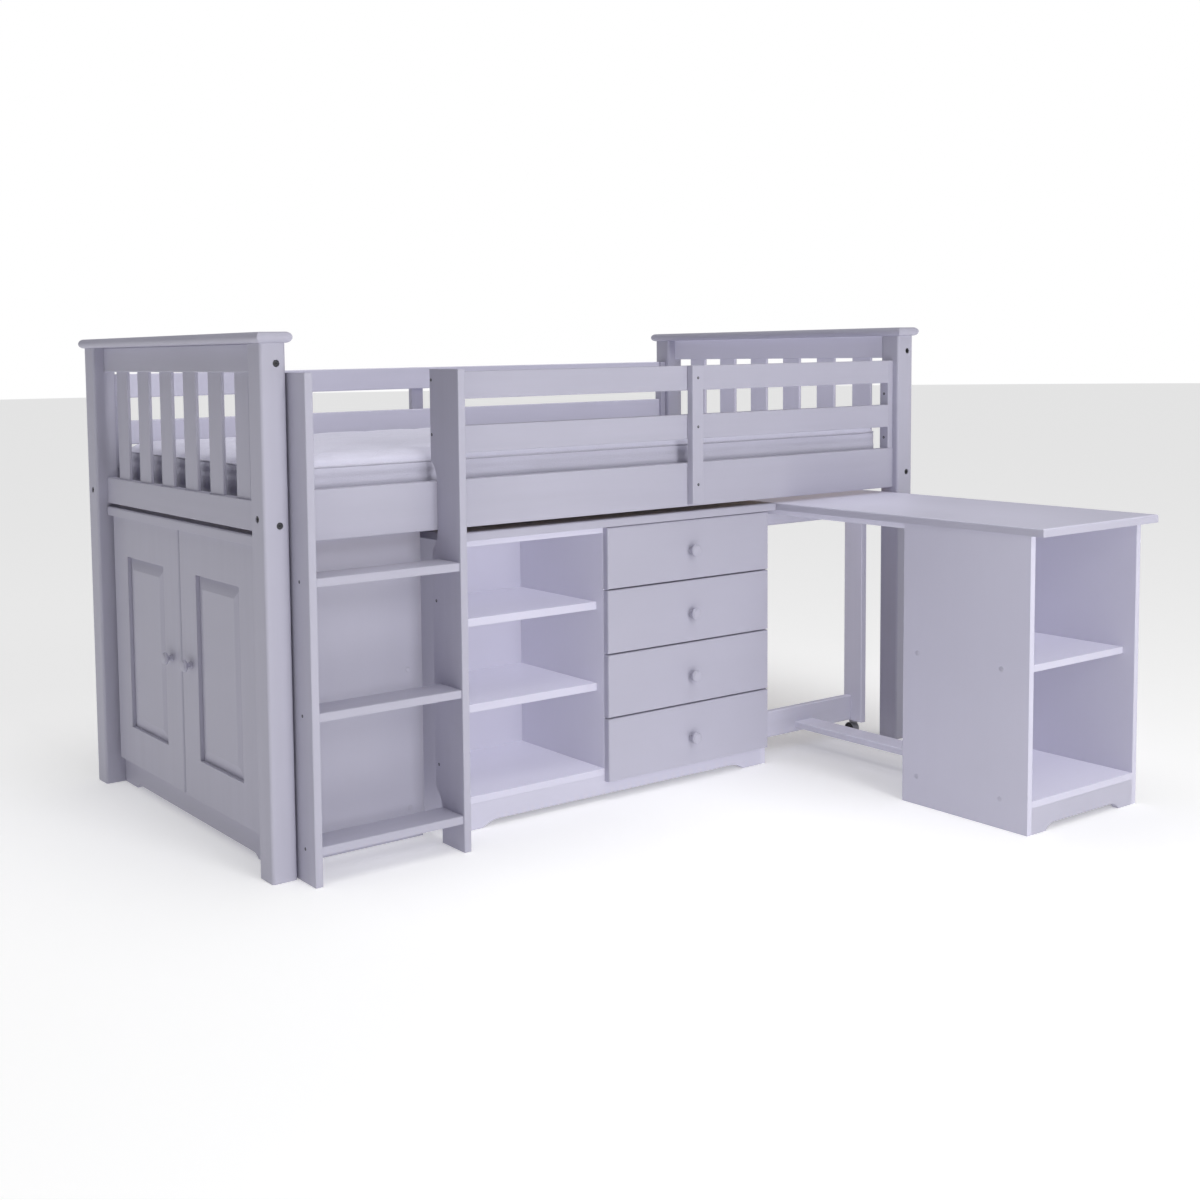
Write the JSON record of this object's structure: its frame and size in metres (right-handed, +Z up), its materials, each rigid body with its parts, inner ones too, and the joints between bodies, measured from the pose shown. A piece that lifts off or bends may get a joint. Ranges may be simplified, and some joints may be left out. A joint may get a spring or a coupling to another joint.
{
  "type": "loft bed with desk",
  "caption": "Mid-height loft bed with guard rails and ladder, over a door cupboard, open shelves, a drawer chest and a pull-out desk with shelf pedestal and castors.",
  "frame": {"origin": "centre of the object's box on the floor, with the desk pulled out", "axes": "+X along the bed from the ladder end to the desk end, +Y to the back, away from the ladder, +Z up"},
  "size_m": [2.057, 1.763, 1.159],
  "materials": {
    "painted_wood": "satin lavender grey paint over solid wood, faint grain",
    "painted_board": "satin lavender grey paint over smooth board",
    "back_panel": "satin lavender grey thin board",
    "bare_wood": "planed bare pine",
    "mattress_cover": "pale lavender quilted knit with taped edges",
    "bolt_steel": "dark zinc socket heads",
    "steel": "bright zinc",
    "castor_housing": "light grey moulded plastic",
    "castor_tyre": "black soft tread"
  },
  "bodies": {
    "base": {"posts_left": "painted_wood", "posts_right": "painted_wood", "cap_left": "painted_wood", "cap_right": "painted_wood", "end_rails_left": "painted_wood", "end_rails_right": "painted_wood", "end_slats_left": "painted_wood", "end_slats_right": "painted_wood", "side_rail_front": "painted_wood", "side_rail_back": "painted_wood", "slat_ledges": "bare_wood", "bed_slats": "bare_wood", "guard_boards_front": "painted_wood", "guard_boards_back": "painted_wood", "guard_uprights": "painted_wood", "mattress": "mattress_cover", "ladder_stile_left": "painted_wood", "ladder_stile_right": "painted_wood", "ladder_treads": "painted_wood", "frame_bolts": "bolt_steel", "barrel_nuts": "steel", "cupboard_top": "painted_board", "cupboard_sides": "painted_board", "cupboard_back": "back_panel", "cupboard_shelves": "painted_board", "cupboard_plinth": "painted_board", "hinge_arms": "steel", "chest_top": "painted_board", "chest_uprights": "painted_board", "chest_back": "back_panel", "chest_shelves": "painted_board", "chest_plinth": "painted_board", "drawer_runners": "bare_wood"},
    "door_front": {"door_front_frame": "painted_wood", "door_front_panel": "painted_board", "door_front_knob": "painted_wood", "hinge_cups_front": "steel"},
    "door_back": {"door_back_frame": "painted_wood", "door_back_panel": "painted_board", "door_back_knob": "painted_wood", "hinge_cups_back": "steel"},
    "drawer_1": {"drawer_1_front": "painted_board", "drawer_1_box": "bare_wood"},
    "drawer_2": {"drawer_2_front": "painted_board", "drawer_2_box": "bare_wood"},
    "drawer_3": {"drawer_3_front": "painted_board", "drawer_3_box": "bare_wood"},
    "drawer_4": {"drawer_4_front": "painted_board", "drawer_4_box": "bare_wood"},
    "desk": {"desk_top": "painted_board", "pedestal_sides": "painted_board", "pedestal_back": "painted_board", "pedestal_shelves": "painted_board", "pedestal_plinth": "painted_board", "desk_legs": "painted_wood", "desk_rails": "painted_wood"},
    "castor_left": {"castor_left_fork": "castor_housing"},
    "castor_left_roll": {"castor_left_wheels": "castor_tyre"},
    "castor_right": {"castor_right_fork": "castor_housing"},
    "castor_right_roll": {"castor_right_wheels": "castor_tyre"}
  },
  "joints": [
    {"name": "door_front_hinge", "type": "hinge", "parent": "base", "child": "door_front", "pos_m": [-0.9835, -0.0155, 0.3875], "axis": [0, 0, 1], "range_deg": [0, 100]},
    {"name": "door_back_hinge", "type": "hinge", "parent": "base", "child": "door_back", "pos_m": [-0.9835, 0.7955, 0.3875], "axis": [0, 0, -1], "range_deg": [0, 100]},
    {"name": "drawer_1_slide", "type": "slide", "parent": "base", "child": "drawer_1", "axis": [0, -1, 0], "range_m": [0, 0.26]},
    {"name": "drawer_2_slide", "type": "slide", "parent": "base", "child": "drawer_2", "axis": [0, -1, 0], "range_m": [0, 0.26]},
    {"name": "drawer_3_slide", "type": "slide", "parent": "base", "child": "drawer_3", "axis": [0, -1, 0], "range_m": [0, 0.26]},
    {"name": "drawer_4_slide", "type": "slide", "parent": "base", "child": "drawer_4", "axis": [0, -1, 0], "range_m": [0, 0.26]},
    {"name": "desk_slide", "type": "slide", "parent": "base", "child": "desk", "axis": [0, 1, 0], "range_m": [0, 0.76]},
    {"name": "castor_left_swivel", "type": "hinge", "parent": "desk", "child": "castor_left", "pos_m": [0.5215, 0.0015, 0.03], "axis": [0, 0, 1], "continuous": true},
    {"name": "castor_left_spin", "type": "hinge", "parent": "castor_left", "child": "castor_left_roll", "pos_m": [0.5215, 0.0105, 0.014], "axis": [1, 0, 0], "continuous": true},
    {"name": "castor_right_swivel", "type": "hinge", "parent": "desk", "child": "castor_right", "pos_m": [0.9265, 0.0015, 0.03], "axis": [0, 0, 1], "continuous": true},
    {"name": "castor_right_spin", "type": "hinge", "parent": "castor_right", "child": "castor_right_roll", "pos_m": [0.9265, 0.0105, 0.014], "axis": [1, 0, 0], "continuous": true}
  ]
}
